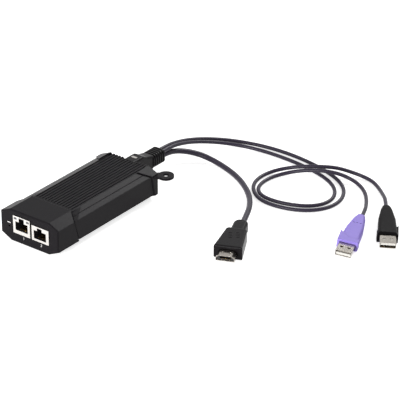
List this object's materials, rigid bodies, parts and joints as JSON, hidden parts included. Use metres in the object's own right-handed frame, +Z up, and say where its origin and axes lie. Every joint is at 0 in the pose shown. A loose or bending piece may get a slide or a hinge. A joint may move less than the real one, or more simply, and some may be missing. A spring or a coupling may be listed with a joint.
{
  "type": "kvm extender",
  "caption": "Ribbed console extender module with modular jacks at the front, a fixing ear and a strain relief at the rear, and trailing cords with a video plug and flat shielded plugs.",
  "frame": {"origin": "centre of the flat underside of the housing (the plane it rests on)", "axes": "+Z up, +Y from the jack face towards the strain relief, +X to the right seen from the jack face"},
  "size_m": [0.2416, 0.2388, 0.026],
  "materials": {
    "case_dark": "fine moulded grain, satin-matt",
    "shield": "nickel plated, slightly brushed",
    "steel": "zinc plated",
    "black_plastic": "moulded, plain",
    "contact_gold": "gold flashed",
    "lamp": "translucent light guide",
    "board": "solder mask",
    "chip": "moulded package",
    "capacitor": "drawn can",
    "header": "natural nylon",
    "cord": "satin jacket",
    "rubber_black": "overmoulded, satin",
    "grip_purple": "overmoulded, satin",
    "tongue": "moulded, plain"
  },
  "bodies": {
    "module": {"front_cap": "case_dark", "rear_cap": "case_dark", "top_cover": "case_dark", "bottom_cover": "case_dark", "cover_screws": "steel", "main_board": "board", "jack_1_shield": "shield", "jack_1_insert": "black_plastic", "jack_1_contacts": "contact_gold", "jack_1_lamps": "lamp", "jack_2_shield": "shield", "jack_2_insert": "black_plastic", "jack_2_contacts": "contact_gold", "reset_switch": "black_plastic", "video_chip": "chip", "network_chip": "chip", "line_transformer": "chip", "clock_crystal": "shield", "supply_capacitors": "capacitor", "cable_header": "header", "cable_gland": "rubber_black", "indicator_window": "lamp", "video_cord": "cord", "upper_cord": "cord", "lower_cord": "cord", "video_plug_grip": "rubber_black", "video_plug_shell": "shield", "video_plug_insert": "black_plastic", "video_plug_contacts": "contact_gold", "purple_plug_grip": "grip_purple", "purple_plug_shell": "shield", "purple_plug_tongue": "tongue", "purple_plug_contacts": "contact_gold", "black_plug_grip": "rubber_black", "black_plug_shell": "shield", "black_plug_tongue": "tongue", "black_plug_contacts": "contact_gold"},
    "reset_button": {"reset_plunger": "black_plastic"}
  },
  "joints": [
    {"name": "reset_press", "type": "slide", "parent": "module", "child": "reset_button", "axis": [0, 1, 0], "range_m": [0, 0.00025], "stiffness_N_per_m": 6400}
  ]
}
